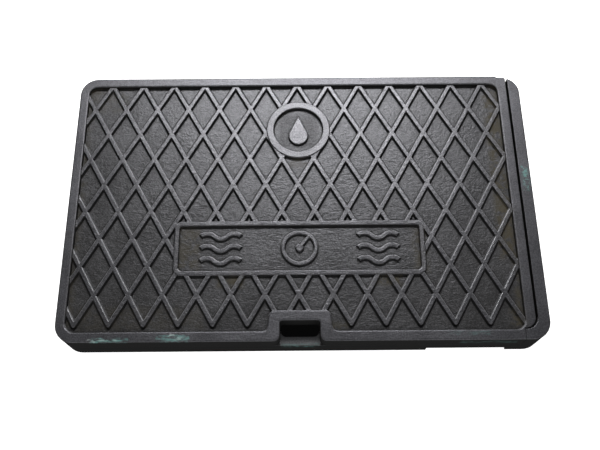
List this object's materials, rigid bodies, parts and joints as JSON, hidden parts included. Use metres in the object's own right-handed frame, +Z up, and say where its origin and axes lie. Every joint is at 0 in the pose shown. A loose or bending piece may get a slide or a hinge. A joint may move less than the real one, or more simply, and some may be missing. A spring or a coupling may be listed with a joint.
{
  "type": "water meter box cover",
  "caption": "Rectangular cast lid with a raised diamond lattice, a ring and a label frame, resting in a cast frame with a raised side rail and a finger notch.",
  "frame": {"origin": "middle of the footprint, on the surface that the frame's lugs stand on", "axes": "+X along the long side towards the raised rail, -Y towards the edge with the finger notch, +Z up"},
  "size_m": [0.458, 0.282, 0.04],
  "materials": {
    "lid_casting": "black bitumen paint over a coarse cast skin, worn grey on the raised edges",
    "frame_casting": "black bitumen paint over a coarse cast skin, with pale green scuffs"
  },
  "bodies": {
    "root": {"lid": "lid_casting", "frame": "frame_casting"}
  },
  "joints": []
}
